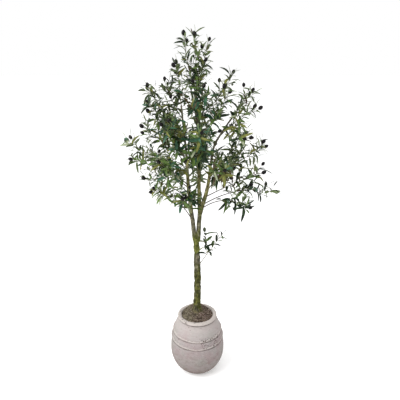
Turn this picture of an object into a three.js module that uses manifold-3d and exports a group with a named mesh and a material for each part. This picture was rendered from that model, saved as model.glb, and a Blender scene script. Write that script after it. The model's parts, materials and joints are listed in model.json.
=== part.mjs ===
// A potted olive tree of the artificial kind: three wired stems on one mossy trunk, wired boughs that carry
// separate sprays of leaves and fruit, and a round-shouldered earthenware jar filled to its rim.
// Millimetres, +Z up. The origin is the centre of the jar's flat foot. +X is the side of the low right bough.
import * as THREE from "three";
import { mergeVertices } from "three/addons/utils/BufferGeometryUtils.js";
import Module from "manifold-3d";

const wasm = await Module();
wasm.setup();

// ---- Driving sizes ------------------------------------------------------------------------------

const CLEARANCE = 0.3; // between solids that touch
const SIDE_GAP = 0.48; // between a stem's side and what grows from it
const WELD = 1e-3; // corners of a fused spray closer than this are one corner

// The jar. Each pair is a radius and the height that it is reached at.
const POT_SEGMENTS = 28;
const POT_BODY = [
  [76, 0],
  [115, 20],
  [148, 60],
  [169, 112],
  [173.5, 165],
  [171, 215],
];
const POT_SHOULDER = [
  [163.5, 264],
  [152, 310],
  [133.5, 357],
  [121, 378],
];
const CORD_HEIGHTS = [247, 296]; // two raised cords round the belly
const CORD_PROUD = 5;
const CORD_HALF_WIDTH = 5;
const LIP_GROOVE = [116, 384]; // the crease that the lip stands over
const LIP_RADIUS = 113.5; // to the middle of the rounded lip
const LIP_HALF_WIDTH = 12.5;
const LIP_HALF_HEIGHT = 10.5;
const LIP_HEIGHT = 394.5;
const WALL = 22;
const FLOOR = 24;

// The fill, mounded at the trunk and heaped higher behind it.
const FILL_EDGE_HEIGHT = 391;
const GROUND = 418; // flat top of the mound, which the trunk stands on
const GROUND_RADIUS = 42;
const FILL_LUMP = 2.5;
const FILL_GAP = 0.7; // round the fill, where both walls are faceted
const HEAP = { x: -8, y: 78, halfWidth: 62, depth: 26, rise: 22 };

// The trunk and its stems: points that each one's middle passes through, and its radius at foot and tip.
const TRUNK_TOP = 930;
const FLARE_RADIUS = 39; // at the ground
const FLARE_HEIGHT = 70; // over which the flare dies out
const TRUNK = {
  points: [[0, 0, GROUND], [0, 0, 490], [2, 1, 600], [2, 0, 730], [-3, 0, 865], [-3, 0, TRUNK_TOP]],
  radii: [25, 16.8],
};
const COLLAR = { swell: 7, height: 55 }; // where the trunk widens to carry two stems
const TRUNK_FACETS = { sides: 10, steps: 13 };
const STEM_FACETS = { sides: 8, steps: 11 };
const STEMS = {
  stem_left: {
    points: [[-14.5, 0, TRUNK_TOP - 8], [-24, -5, 1030], [-39, -15, 1155], [-52, -26, 1310], [-58, -34, 1450],
      [-72, -40, 1600], [-84, -40, 1735]],
    radii: [11.4, 4.6],
  },
  stem_middle: {
    points: [[7.5, 0, TRUNK_TOP - 8], [11, 0, 1020], [16, 1, 1095], [13, 6, 1210], [12, 12, 1340],
      [8, 16, 1500], [0, 12, 1680], [-2, 8, 1815]],
    radii: [11.8, 4.6],
  },
  stem_right: {
    points: [[17, 0, 1088], [33, -6, 1150], [54, -13, 1225], [70, -20, 1310], [80, -27, 1405],
      [98, -32, 1510], [148, -35, 1600], [204, -32, 1680]],
    radii: [10.4, 4.2],
    from: "stem_middle",
  },
};

// Foliage. Each spray grows along a shoot that leaves a stem at a height, or from the stem's tip where no
// height is given, and bends up or over to its own tip. The bearing is in degrees anticlockwise from +X,
// the reach is from the jar's axis, the height is the furthest leaf's, and the arch is how far the middle
// rises above a straight line. The spread is how long its twigs are. Where a bare share is given, that much
// of the way is a bare bough, a solid of its own.
const SPRAYS = [
  { name: "top", stem: "stem_middle", bearing: 180, reach: 6, height: 2112, arch: 0, spread: 66 },
  { name: "top_left", stem: "stem_middle", at: 1770, bearing: 190, reach: 80, height: 2122, arch: -20,
    spread: 40 },
  { name: "top_right", stem: "stem_middle", at: 1790, bearing: 8, reach: 66, height: 2098, arch: -20,
    spread: 38 },
  { name: "left_peak", stem: "stem_left", bearing: 196, reach: 112, height: 1975, arch: -5, spread: 56 },
  { name: "right_peak", stem: "stem_right", bearing: 356, reach: 318, height: 1822, arch: 2, spread: 62 },
  { name: "right_low", stem: "stem_right", at: 1150, bearing: 358, reach: 474, height: 1224, arch: 53,
    bare: 0.36, spread: 62 },
  { name: "right_droop", stem: "stem_right", at: 1124, bearing: 331, reach: 345, height: 1178, arch: 54,
    bare: 0.4, spread: 66 },
  { name: "left_low", stem: "stem_left", at: 1050, bearing: 205, reach: 282, height: 1256, arch: 66,
    bare: 0.32, spread: 70 },
  { name: "left_front", stem: "stem_left", at: 1110, bearing: 244, reach: 195, height: 1235, arch: 24,
    spread: 80 },
  { name: "left_core", stem: "stem_left", at: 1165, bearing: 250, reach: 172, height: 1242, arch: 14,
    spread: 76 },
  { name: "left_mid_low", stem: "stem_left", at: 1185, bearing: 187, reach: 316, height: 1318, arch: 30,
    bare: 0.26, spread: 66 },
  { name: "right_mid_low", stem: "stem_right", at: 1200, bearing: 350, reach: 392, height: 1366, arch: 10,
    bare: 0.26, spread: 68 },
  { name: "right_mid", stem: "stem_right", at: 1290, bearing: 3, reach: 408, height: 1500, arch: 14,
    bare: 0.3, spread: 72 },
  { name: "right_upper", stem: "stem_right", at: 1560, bearing: 350, reach: 332, height: 1728, arch: 14,
    bare: 0.2, spread: 60 },
  { name: "right_core", stem: "stem_right", at: 1625, bearing: 330, reach: 300, height: 1562, arch: 6,
    spread: 72 },
  { name: "left_mid", stem: "stem_left", at: 1260, bearing: 184, reach: 384, height: 1432, arch: 30,
    bare: 0.26, spread: 70 },
  { name: "left_mid_high", stem: "stem_left", at: 1345, bearing: 176, reach: 424, height: 1526, arch: 4,
    bare: 0.2, spread: 72 },
  { name: "left_upper", stem: "stem_left", at: 1450, bearing: 190, reach: 316, height: 1632, arch: -8,
    spread: 66 },
  { name: "left_fore", stem: "stem_left", at: 1500, bearing: 208, reach: 292, height: 1778, arch: -10,
    spread: 74 },
  { name: "left_high", stem: "stem_left", at: 1590, bearing: 178, reach: 288, height: 1850, arch: -18,
    spread: 62 },
  { name: "left_crest", stem: "stem_left", at: 1660, bearing: 163, reach: 200, height: 1890, arch: -22,
    spread: 60 },
  { name: "right_high", stem: "stem_middle", at: 1540, bearing: 326, reach: 216, height: 1833, arch: -22,
    spread: 66 },
  { name: "right_crest", stem: "stem_middle", at: 1640, bearing: 17, reach: 228, height: 1922, arch: -24,
    spread: 54 },
  { name: "front_left", stem: "stem_left", at: 1420, bearing: 244, reach: 300, height: 1690, arch: -14,
    spread: 86 },
  { name: "front_mid", stem: "stem_middle", at: 1390, bearing: 274, reach: 315, height: 1640, arch: -14,
    spread: 86 },
  { name: "front_right", stem: "stem_right", at: 1310, bearing: 300, reach: 318, height: 1430, arch: 6,
    bare: 0.2, spread: 84 },
  { name: "front_left_low", stem: "stem_left", at: 1275, bearing: 228, reach: 305, height: 1470, arch: 8,
    bare: 0.2, spread: 84 },
  { name: "front_high", stem: "stem_middle", at: 1650, bearing: 282, reach: 160, height: 1862, arch: -18,
    spread: 72 },
  { name: "back_right_low", stem: "stem_right", at: 1235, bearing: 46, reach: 362, height: 1390, arch: 12,
    bare: 0.2, spread: 88 },
  { name: "back_low", stem: "stem_middle", at: 1225, bearing: 92, reach: 380, height: 1380, arch: 14,
    bare: 0.2, spread: 88 },
  { name: "back_left_low", stem: "stem_left", at: 1215, bearing: 138, reach: 368, height: 1370, arch: 14,
    bare: 0.2, spread: 88 },
  { name: "back_right", stem: "stem_right", at: 1345, bearing: 30, reach: 350, height: 1560, arch: -20,
    spread: 84 },
  { name: "back_mid", stem: "stem_middle", at: 1440, bearing: 84, reach: 330, height: 1650, arch: -8,
    spread: 86 },
  { name: "back_left", stem: "stem_left", at: 1410, bearing: 130, reach: 330, height: 1636, arch: -6,
    spread: 86 },
  { name: "back_high", stem: "stem_middle", at: 1625, bearing: 104, reach: 190, height: 1872, arch: -16,
    spread: 76 },
  { name: "heart", stem: "stem_middle", at: 1420, bearing: 246, reach: 150, height: 1640, arch: -6,
    spread: 76 },
  { name: "low_sprig", stem: "trunk", at: 735, bearing: 356, reach: 176, height: 996, arch: 4, spread: 84,
    sparse: true },
];

const BOUGH_RADII = [4.4, 3.4];
const BOUGH_FACETS = { sides: 4, steps: 3 };
const SHOOT_RADII = [4.4, 3.6];
const SHOOT_FACETS = { sides: 3, steps: 4 };
const TWIG_RADII = [2.8, 2.5];
const TWIG_FACETS = { sides: 3, steps: 1 };
const TWIG_TAPER = [1.24, 0.6]; // how long the first and the last twig are, as shares of the spread
const FIRST_TWIG = 0.22; // share of a direct shoot that stays bare
const TWIG_EVERY = 72;
const TWIG_LEAN = 55; // degrees off the shoot
const TWIG_RISE = 0.22; // how far a twig's tip lifts, as a share of its length
const GOLDEN_ANGLE = 137.5;
const TIP_LEAF = 58; // how far the end leaf reaches past the shoot
const LEAF = { length: 116, width: 33, root: 0.9, thickness: 2 };
const TWIG_PAIRS = { every: 64, first: 26 }; // where pairs of leaves stand along a twig
const SHOOT_PAIRS = { every: 64, first: 28 };
const LEAF_LEAN = 52;
const PAIR_STAGGER = 2.5; // how far along the twig each leaf of a pair is off the pair's place
const LEAF_LIFT = 0.16;
const END_LEAF_SINK = 1.5;
const TWIG_END_LEAF = 92;
const FRUIT_EVERY = 4; // one twig in so many ends in a fruit instead of a leaf
const OLIVE = { width: 23, length: 30 };
const SPACE_BEYOND_TWIGS = 72; // how far from its shoot a spray may reach, past three quarters of its spread
const SPACE_MARGIN = 3; // kept on each side of the border between two sprays' spaces
const LIMB_MARGIN = 1.5;

// ---- Solids -------------------------------------------------------------------------------------

const UP = new THREE.Vector3(0, 0, 1);
const vector = (p) => new THREE.Vector3(...p);
const radians = THREE.MathUtils.degToRad;

// A closed three.js geometry as one solid. place moves its shared vertices first.
function solid(geometry, place = () => {}, weld = 1e-5) {
  geometry.deleteAttribute("normal");
  geometry.deleteAttribute("uv");
  const merged = mergeVertices(geometry, weld);
  const position = merged.getAttribute("position");
  const point = new THREE.Vector3();
  for (let i = 0; i < position.count; i++) {
    point.fromBufferAttribute(position, i);
    place(point);
    position.setXYZ(i, ...point);
  }
  const triVerts = new Uint32Array(merged.index.array);
  return new wasm.Manifold(new wasm.Mesh({ numProp: 3, vertProperties: position.array, triVerts }));
}

function geometryOf(manifold) {
  const { vertProperties, triVerts } = manifold.getMesh();
  return new THREE.BufferGeometry()
    .setAttribute("position", new THREE.BufferAttribute(vertProperties, 3))
    .setIndex(new THREE.BufferAttribute(triVerts, 1))
    .toNonIndexed();
}

// The biggest closed body of a solid, without loose scrap or sealed hollows.
const largest = (manifold) => manifold.decompose().sort((a, b) => b.volume() - a.volume())[0];

// ---- The growing rule ---------------------------------------------------------------------------

// The same numbers from 0 to 1 for the same seed.
function seeded(seed) {
  let state = seed >>> 0;
  return () => {
    state = (state + 0x6d2b79f5) >>> 0;
    let t = Math.imul(state ^ (state >>> 15), state | 1);
    t ^= t + Math.imul(t ^ (t >>> 7), t | 61);
    return ((t ^ (t >>> 14)) >>> 0) / 4294967296;
  };
}

// Evenly stepped places along a curve, with a sideways direction that never twists.
function stations(curve, from, to, steps) {
  const list = [];
  for (let i = 0; i <= steps; i++) {
    const t = from + ((to - from) * i) / steps;
    const along = curve.getTangent(t);
    const side = list.length
      ? list[i - 1].side.clone()
      : new THREE.Vector3().crossVectors(along, Math.abs(along.z) < 0.9 ? UP : new THREE.Vector3(1, 0, 0));
    side.addScaledVector(along, -side.dot(along)).normalize();
    list.push({ point: curve.getPoint(t), along, side, over: new THREE.Vector3().crossVectors(side, along) });
  }
  return list;
}

// A round limb bent along a curve. radiusAt takes the share of the way from its foot.
function limb(curve, from, to, radiusAt, { sides, steps }) {
  const rings = stations(curve, from, to, steps);
  return solid(new THREE.CylinderGeometry(1, 1, 1, sides, steps), (p) => {
    const share = p.y + 0.5;
    const ring = rings[Math.round(share * steps)];
    const radius = radiusAt(share);
    const [x, z] = [p.x * radius, p.z * radius];
    p.copy(ring.point).addScaledVector(ring.side, x).addScaledVector(ring.over, z);
  });
}

const taper = ([foot, tip]) => (share) => foot + (tip - foot) * share;

function distanceToLine(point, line) {
  let least = Infinity;
  const near = new THREE.Vector3();
  for (let i = 1; i < line.length; i++) {
    new THREE.Line3(line[i - 1], line[i]).closestPointToPoint(point, true, near);
    least = Math.min(least, near.distanceTo(point));
  }
  return least;
}

const smooth = (points) => new THREE.CatmullRomCurve3(points.map(vector), false, "catmullrom", 0.5);

// The share along a rising curve where it reaches a height.
function shareAtHeight(curve, height) {
  let [low, high] = [0, 1];
  for (let i = 0; i < 40; i++) {
    const middle = (low + high) / 2;
    if (curve.getPoint(middle).z < height) low = middle;
    else high = middle;
  }
  return low;
}

// A stem's curve, radii and the straight pieces that stand for it when distances are measured.
function stemOf({ points, radii }) {
  const curve = smooth(points);
  return { curve, radii, line: curve.getPoints(24), thickness: Math.max(...radii) };
}

const stems = { trunk: stemOf(TRUNK) };
for (const [name, sizes] of Object.entries(STEMS)) stems[name] = stemOf(sizes);

// A spray's whole way from its stem to its tip, and the shares of it where the shoot starts and ends.
function plan(spray, number) {
  const { curve } = stems[spray.stem];
  const start = curve.getPoint(spray.at ? shareAtHeight(curve, spray.at) : 1);
  const bearing = radians(spray.bearing);
  const tip = new THREE.Vector3(Math.cos(bearing), Math.sin(bearing), 0).multiplyScalar(spray.reach);
  tip.z = spray.height;
  const middle = start.clone().lerp(tip, 0.5).addScaledVector(UP, 2 * spray.arch);
  const way = new THREE.QuadraticBezierCurve3(start, middle, tip);
  const length = way.getLength();
  const gap = CLEARANCE / length;
  const foot = spray.at ? (spray.bare ?? 0) : gap;
  const shootStart = spray.bare ? spray.bare + gap : foot;
  const shootEnd = 1 - TIP_LEAF / length;
  const line = stations(way, shootStart, shootEnd, 12).map((s) => s.point);
  const room = 0.75 * spray.spread + SPACE_BEYOND_TWIGS;
  return { ...spray, number, way, length, shootStart, shootEnd, line, room };
}

const sprays = SPRAYS.map(plan);

const limbLines = [
  ...Object.values(stems).map(({ line, thickness }) => ({ line, thickness })),
  ...sprays
    .filter((s) => s.bare)
    .map((s) => ({ line: stations(s.way, 0, s.bare, 8).map((t) => t.point), thickness: BOUGH_RADII[0] })),
];

// Whether a point with some thickness around it is in a spray's own space: near enough to its shoot, nearer
// to that than to any other spray's, and clear of the limbs.
function inSpace(spray, point, thickness) {
  const own = distanceToLine(point, spray.line);
  const others = own + 2 * (SPACE_MARGIN + thickness);
  return (
    own < spray.room &&
    sprays.every((s) => s === spray || distanceToLine(point, s.line) > others) &&
    limbLines.every((l) => distanceToLine(point, l.line) > l.thickness + thickness + LIMB_MARGIN)
  );
}

// The share of a spray's way where its first twig may stand.
function firstTwigShare({ at, bare, shootStart }) {
  return at && !bare ? FIRST_TWIG : shootStart;
}

// The twigs of a spray: they turn round the shoot by the golden angle, lean out and lift at their tips.
function twigsOf(spray) {
  const random = seeded(1000 + spray.number);
  const from = firstTwigShare(spray);
  const places = stations(spray.way, from, spray.shootEnd, 24);
  const count = Math.max(2, Math.round(((spray.shootEnd - from) * spray.length) / TWIG_EVERY));
  const twigs = [];
  for (let k = 0; k < count; k++) {
    const share = (k + 0.6) / (count + 0.2);
    const { point, along, side, over } = places[Math.round(share * 24)];
    const turn = radians(GOLDEN_ANGLE * k + 47 * spray.number);
    const lean = radians(TWIG_LEAN * (1 - 0.3 * share));
    const length = spray.spread * taper(TWIG_TAPER)(share) * (0.85 + 0.3 * random());
    const heading = along
      .clone()
      .multiplyScalar(Math.cos(lean))
      .addScaledVector(side, Math.sin(lean) * Math.cos(turn))
      .addScaledVector(over, Math.sin(lean) * Math.sin(turn));
    const end = point.clone().addScaledVector(heading, length).addScaledVector(UP, TWIG_RISE * length);
    const bend = point.clone().addScaledVector(heading, 0.55 * length);
    twigs.push(new THREE.QuadraticBezierCurve3(point, bend, end));
  }
  return twigs;
}

// Leaves in pairs, each pair a quarter turn on from the last, and one at the end.
function leavesAlong(curve, from, to, { every, first }, seed, endLeaf) {
  const random = seeded(seed);
  const places = stations(curve, from, to, 24);
  const length = curve.getLength() * (to - from);
  const leaves = [];
  for (let distance = first, pair = 0; distance < length - 6; distance += every, pair++) {
    const share = distance / length;
    const { point, along, side, over } = places[Math.round(share * 24)];
    const turn = radians(45 + 90 * pair + 16 * (random() - 0.5));
    for (const sign of [1, -1]) {
      const lean = radians(LEAF_LEAN * (1 - 0.25 * share) * (0.85 + 0.3 * random()));
      const out = side.clone().multiplyScalar(Math.cos(turn)).addScaledVector(over, Math.sin(turn));
      const heading = along.clone().multiplyScalar(Math.cos(lean));
      heading.addScaledVector(out, sign * Math.sin(lean)).addScaledVector(UP, LEAF_LIFT).normalize();
      const root = point.clone().addScaledVector(along, sign * PAIR_STAGGER);
      const long = LEAF.length * (0.8 + 0.35 * random());
      leaves.push({ point: root, heading, along, length: long, width: LEAF.width });
    }
  }
  const last = places[24];
  const sunk = last.point.clone().addScaledVector(last.along, -END_LEAF_SINK);
  const width = 0.8 * LEAF.width;
  leaves.push({ point: sunk, heading: last.along, along: last.over, length: endLeaf, width });
  return leaves;
}

// How a leaf faces and the four places that say how far it reaches: its two edges at the widest place, its
// tip, and a place on its middle that is most of the way to the tip.
function leafOutline({ point, heading, along, length, width }) {
  const face = along.clone().addScaledVector(UP, 0.4);
  face.addScaledVector(heading, -face.dot(heading)).normalize();
  const across = new THREE.Vector3().crossVectors(heading, face);
  const widest = point.clone().addScaledVector(heading, 0.42 * length);
  return {
    face,
    across,
    left: widest.clone().addScaledVector(across, width / 2),
    right: widest.clone().addScaledVector(across, -width / 2),
    tip: point.clone().addScaledVector(heading, length),
    late: point.clone().addScaledVector(heading, 0.72 * length),
  };
}

const LEAF_FACES = [0, 1, 2, 0, 3, 4, 0, 4, 1, 3, 5, 4, 0, 2, 3, 2, 5, 3, 2, 4, 5, 2, 1, 4];

// A leaf of eight faces: flat above, keeled below, thick at its sunk root and pointed at its tip.
function leafSolid(leaf) {
  const { face, across, left, right, tip } = leafOutline(leaf);
  const root = (sideways, up) =>
    leaf.point.clone().addScaledVector(across, sideways).addScaledVector(face, up);
  const corners = [
    root(LEAF.root, LEAF.thickness / 3),
    root(-LEAF.root, LEAF.thickness / 3),
    root(0, (-2 * LEAF.thickness) / 3),
    left,
    right,
    tip,
  ];
  return new wasm.Manifold(
    new wasm.Mesh({
      numProp: 3,
      vertProperties: new Float32Array(corners.flatMap((c) => [...c])),
      triVerts: new Uint32Array(LEAF_FACES),
    }),
  );
}

function oliveSolid(end, heading) {
  const centre = end.clone().addScaledVector(heading, 0.36 * OLIVE.length);
  const turn = new THREE.Quaternion().setFromUnitVectors(UP, heading);
  return solid(new THREE.IcosahedronGeometry(0.5, 0), (p) => {
    p.set(p.x * OLIVE.width, p.y * OLIVE.width, p.z * OLIVE.length);
    p.applyQuaternion(turn).add(centre);
  });
}

// One spray as one fused solid: shoot, twigs, leaves and fruit that keep to its space.
function sprayOf(spray) {
  const { way, shootStart, shootEnd, number } = spray;
  const pieces = [limb(way, shootStart, shootEnd, taper(SHOOT_RADII), SHOOT_FACETS)];
  const fits = (leaf) => {
    const { left, right, tip, late } = leafOutline(leaf);
    return [left, right, tip, late].every((p) => inSpace(spray, p, 1));
  };
  const bearsFruit = [];
  twigsOf(spray).forEach((twig, k) => {
    const end = twig.getPoint(1);
    if (![twig.getPoint(0.5), end].every((p) => inSpace(spray, p, TWIG_RADII[0]))) return;
    pieces.push(limb(twig, 0, 1, taper(TWIG_RADII), TWIG_FACETS));
    const leaves = leavesAlong(twig, 0, 1, TWIG_PAIRS, 100 * number + k, TWIG_END_LEAF);
    const fruiting = (k + number) % FRUIT_EVERY === 1 && !spray.sparse;
    if (fruiting) leaves.pop();
    pieces.push(...leaves.filter(fits).map(leafSolid));
    if (fruiting) bearsFruit.push([end, twig.getTangent(1)]);
  });
  const shootLeaves = leavesAlong(way, firstTwigShare(spray), shootEnd, SHOOT_PAIRS, 7000 + number, TIP_LEAF);
  pieces.push(...shootLeaves.filter(fits).map(leafSolid));
  for (const [end, heading] of bearsFruit) {
    if (inSpace(spray, end.clone().addScaledVector(heading, OLIVE.length / 2), OLIVE.length / 2))
      pieces.push(oliveSolid(end, heading));
  }
  let fused = pieces.reduce((all, piece) => all.add(piece));
  if (spray.at && !spray.bare) fused = fused.subtract(clearOf(spray.stem));
  return largest(solid(geometryOf(fused), undefined, WELD));
}

// ---- Named parts --------------------------------------------------------------------------------

const COLOURS = {
  pot: { color: 0xb5aaa3, roughness: 0.9, metalness: 0 },
  soil: { color: 0x4d4238, roughness: 1, metalness: 0 },
  bark: { color: 0x5d5a2c, roughness: 0.95, metalness: 0 },
  foliage: { color: 0x3c5a35, roughness: 0.6, metalness: 0 },
};
const group = new THREE.Group();

function addPart(name, manifold, look) {
  const mesh = new THREE.Mesh(geometryOf(manifold), new THREE.MeshStandardMaterial(COLOURS[look]));
  mesh.name = name;
  group.add(mesh);
}

const flat = ([radius, height]) => new THREE.Vector2(radius, height);
const upright = (p) => p.set(p.x, -p.z, p.y);

// The jar's wall inside, from its floor to the lip. inset makes the fill that much smaller.
function innerWall(inset) {
  const places = [POT_BODY[2], POT_BODY[4], POT_SHOULDER[0], POT_SHOULDER[2]];
  const wall = places.map(([radius, height]) => [radius - WALL - inset, height]);
  return [[POT_BODY[1][0] - WALL - inset, FLOOR + inset], ...wall];
}

function potSolid() {
  const body = new THREE.SplineCurve([...POT_BODY, ...POT_SHOULDER].map(flat)).getPoints(10);
  const cords = CORD_HEIGHTS.flatMap((height) => {
    const near = body.findIndex((p) => p.y > height);
    const [below, above] = [body[near - 1], body[near]];
    const radius = below.x + ((above.x - below.x) * (height - below.y)) / (above.y - below.y);
    const slope = (above.x - below.x) / (above.y - below.y);
    return [-1, 0, 1].map((k) => {
      const proud = k ? 0 : CORD_PROUD;
      const offset = k * CORD_HALF_WIDTH;
      return new THREE.Vector2(radius + slope * offset + proud, height + offset);
    });
  });
  const clearOfCords = (p) => CORD_HEIGHTS.every((height) => Math.abs(p.y - height) > 1.5 * CORD_HALF_WIDTH);
  const outside = [...body.filter(clearOfCords), ...cords].sort((a, b) => a.y - b.y);
  outside.push(flat(LIP_GROOVE));
  const lip = [-35, 20, 75, 130, 185].map((degrees) => {
    const angle = radians(degrees);
    return new THREE.Vector2(
      LIP_RADIUS + LIP_HALF_WIDTH * Math.cos(angle),
      LIP_HEIGHT + LIP_HALF_HEIGHT * Math.sin(angle),
    );
  });
  const inside = innerWall(0).reverse().map(flat);
  const profile = [new THREE.Vector2(0, 0), ...outside, ...lip, ...inside, new THREE.Vector2(0, FLOOR)];
  return solid(new THREE.LatheGeometry(profile, POT_SEGMENTS), upright);
}

// The fill: the jar's inside up to a lumpy surface that rises to the flat ground at the trunk.
function soilSolid() {
  const wall = innerWall(FILL_GAP);
  const edge = LIP_RADIUS - LIP_HALF_WIDTH - 1;
  const rise = GROUND - FILL_EDGE_HEIGHT;
  const top = [0, 0.08, 0.3, 0.62, 1].map((share) => {
    const radius = edge + (GROUND_RADIUS - edge) * share;
    return [radius, FILL_EDGE_HEIGHT + rise * Math.sin((share * Math.PI) / 2)];
  });
  const profile = [[0, FLOOR + CLEARANCE], ...wall, ...top, [0, GROUND]].map(flat);
  return solid(new THREE.LatheGeometry(profile, POT_SEGMENTS), (p) => {
    upright(p);
    const radius = Math.hypot(p.x, p.y);
    if (p.z < FILL_EDGE_HEIGHT + 1 || radius < GROUND_RADIUS + 1) return;
    const heap = ((p.x - HEAP.x) / HEAP.halfWidth) ** 2 + ((p.y - HEAP.y) / HEAP.depth) ** 2;
    p.z += HEAP.rise * Math.exp(-heap) + FILL_LUMP * Math.sin(p.x / 9) * Math.cos(p.y / 11);
  });
}

// The trunk with its flared foot, standing on the ground.
function trunkSolid() {
  const { curve, radii } = stems.trunk;
  const height = TRUNK_TOP - GROUND;
  const straight = taper(radii);
  return limb(curve, CLEARANCE / height, 1 - CLEARANCE / height, (share) => {
    const flare = Math.max(0, 1 - (share * height) / FLARE_HEIGHT);
    const collar = Math.max(0, 1 - ((1 - share) * height) / COLLAR.height);
    return straight(share) + (FLARE_RADIUS - radii[0]) * flare ** 2 + COLLAR.swell * collar ** 1.5;
  }, TRUNK_FACETS);
}

// A stem a little thicker than itself, which what grows from its side is cut by.
function clearOf(name) {
  const { curve, radii } = stems[name];
  const facets = name === "trunk" ? TRUNK_FACETS : STEM_FACETS;
  return limb(curve, 0, 1, (share) => taper(radii)(share) + SIDE_GAP, facets);
}

// Everything near the fork that is under the trunk's flat top, which the two lower stems start from.
function belowFork() {
  const size = 200;
  const box = new THREE.BoxGeometry(size, size, size);
  return solid(box.translate(0, 0, TRUNK_TOP + CLEARANCE - size / 2));
}

function stemSolid(name) {
  const { curve, radii } = stems[name];
  const whole = limb(curve, 0, 1, taper(radii), STEM_FACETS);
  return largest(whole.subtract(STEMS[name].from ? clearOf(STEMS[name].from) : belowFork()));
}

function boughSolid(spray) {
  const whole = limb(spray.way, 0, spray.bare, taper(BOUGH_RADII), BOUGH_FACETS);
  return largest(whole.subtract(clearOf(spray.stem)));
}

addPart("pot", potSolid(), "pot");
addPart("soil", soilSolid(), "soil");
addPart("trunk", trunkSolid(), "bark");
for (const name of Object.keys(STEMS)) addPart(name, stemSolid(name), "bark");
for (const spray of sprays) {
  if (spray.bare) addPart(`bough_${spray.name}`, boughSolid(spray), "bark");
  addPart(`foliage_${spray.name}`, sprayOf(spray), "foliage");
}

export default group;
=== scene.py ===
"""The looks of a potted artificial olive tree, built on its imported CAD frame.

Sizes are in millimetres, as in the part's source, and turned into metres where a mesh is made. The stems,
boughs and sprays follow the source's growing rule, carried on here to finer twigs and more leaves.
"""

import json
from math import cos, hypot, pi, radians, sin, sqrt

import bpy
import numpy as np
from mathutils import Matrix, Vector, noise

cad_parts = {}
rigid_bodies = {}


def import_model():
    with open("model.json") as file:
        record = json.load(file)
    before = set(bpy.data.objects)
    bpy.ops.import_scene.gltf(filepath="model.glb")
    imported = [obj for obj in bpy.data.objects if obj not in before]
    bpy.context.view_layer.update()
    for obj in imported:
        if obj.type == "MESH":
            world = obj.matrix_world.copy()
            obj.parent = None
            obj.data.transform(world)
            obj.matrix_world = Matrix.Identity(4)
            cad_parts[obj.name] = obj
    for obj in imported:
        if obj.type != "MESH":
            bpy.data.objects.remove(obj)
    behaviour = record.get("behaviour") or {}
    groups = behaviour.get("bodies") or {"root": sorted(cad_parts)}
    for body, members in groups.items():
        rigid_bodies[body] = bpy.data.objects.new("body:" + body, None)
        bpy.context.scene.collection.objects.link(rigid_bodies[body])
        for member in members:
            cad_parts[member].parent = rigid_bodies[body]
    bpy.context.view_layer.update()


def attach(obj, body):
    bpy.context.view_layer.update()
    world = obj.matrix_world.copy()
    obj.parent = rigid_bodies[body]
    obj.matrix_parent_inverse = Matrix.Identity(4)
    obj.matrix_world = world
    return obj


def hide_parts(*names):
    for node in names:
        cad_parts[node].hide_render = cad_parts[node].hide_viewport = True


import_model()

# ---- Sizes of the frame ----

MM = 0.001

POT_BODY = [(76, 0), (115, 20), (148, 60), (169, 112), (173.5, 165), (171, 215)]
POT_SHOULDER = [(163.5, 264), (152, 310), (133.5, 357), (121, 378)]
CORD_HEIGHTS = (247, 296)
LIP_RADIUS = 113.5
LIP_HALF_WIDTH = 12.5
LIP_HALF_HEIGHT = 10.5
LIP_HEIGHT = 394.5
WALL = 22
FLOOR = 24
FILL_EDGE_HEIGHT = 391
GROUND = 418

TRUNK_TOP = 930
FLARE_RADIUS = 39
FLARE_HEIGHT = 70
LEFT, MIDDLE, RIGHT = "stem_left", "stem_middle", "stem_right"
STEMS = {
    "trunk": {
        "points": [(0, 0, GROUND), (0, 0, 490), (2, 1, 600), (2, 0, 730), (-3, 0, 865), (-3, 0, TRUNK_TOP)],
        "radii": (25, 16.8),
    },
    LEFT: {
        "points": [(-14.5, 0, TRUNK_TOP - 8), (-24, -5, 1030), (-39, -15, 1155), (-52, -26, 1310),
                   (-58, -34, 1450), (-72, -40, 1600), (-84, -40, 1735)],
        "radii": (11.4, 4.6),
    },
    MIDDLE: {
        "points": [(7.5, 0, TRUNK_TOP - 8), (11, 0, 1020), (16, 1, 1095), (13, 6, 1210), (12, 12, 1340),
                   (8, 16, 1500), (0, 12, 1680), (-2, 8, 1815)],
        "radii": (11.8, 4.6),
    },
    RIGHT: {
        "points": [(17, 0, 1088), (33, -6, 1150), (54, -13, 1225), (70, -20, 1310), (80, -27, 1405),
                   (98, -32, 1510), (148, -35, 1600), (204, -32, 1680)],
        "radii": (10.4, 4.2),
    },
}

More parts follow.
